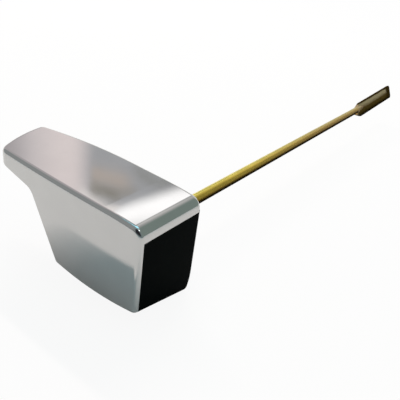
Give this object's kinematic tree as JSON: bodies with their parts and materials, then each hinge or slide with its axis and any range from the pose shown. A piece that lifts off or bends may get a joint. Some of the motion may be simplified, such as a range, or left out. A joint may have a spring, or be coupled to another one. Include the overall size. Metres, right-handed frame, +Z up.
{
  "type": "cistern lever",
  "caption": "Cistern flush lever: a chromed paddle handle on a black hub turns a long brass rod, with a flat spade end, in a sprung threaded wall bushing.",
  "frame": {"origin": "on the rod's axis, at the face of the gasket that seats on the cistern's wall", "axes": "+Y along the rod into the cistern, +Z up, -X towards the paddle's tip"},
  "size_m": [0.0803, 0.2955, 0.0426],
  "materials": {
    "chrome_cover": "bright chrome plate, softly polished",
    "black_moulding": "black moulded plastic, fine satin",
    "rod_brass": "drawn brass, lightly tarnished",
    "turned_brass": "turned brass",
    "zinc_steel": "zinc plated steel",
    "spring_steel": "oiled spring steel",
    "black_rubber": "soft black rubber",
    "white_nylon": "natural nylon"
  },
  "bodies": {
    "wall_mount": {"mounting_bushing": "turned_brass", "wall_gasket": "black_rubber", "nut_washer": "zinc_steel", "clamp_nut": "turned_brass", "return_spring": "spring_steel"},
    "lever": {"handle_cover": "chrome_cover", "hub_body": "black_moulding", "rod_socket": "turned_brass", "rod_set_screw": "zinc_steel", "cover_screws": "zinc_steel", "lever_rod": "rod_brass", "thrust_washer": "white_nylon", "end_washer": "zinc_steel", "retaining_clip": "spring_steel"}
  },
  "joints": [
    {"name": "lever_pivot", "type": "hinge", "parent": "wall_mount", "child": "lever", "pos_m": [0, 0, 0], "axis": [0, -1, 0], "range_deg": [0, 28], "stiffness_Nm_per_rad": 0.05, "springref_deg": -57.3, "deforming": ["return_spring"]}
  ]
}
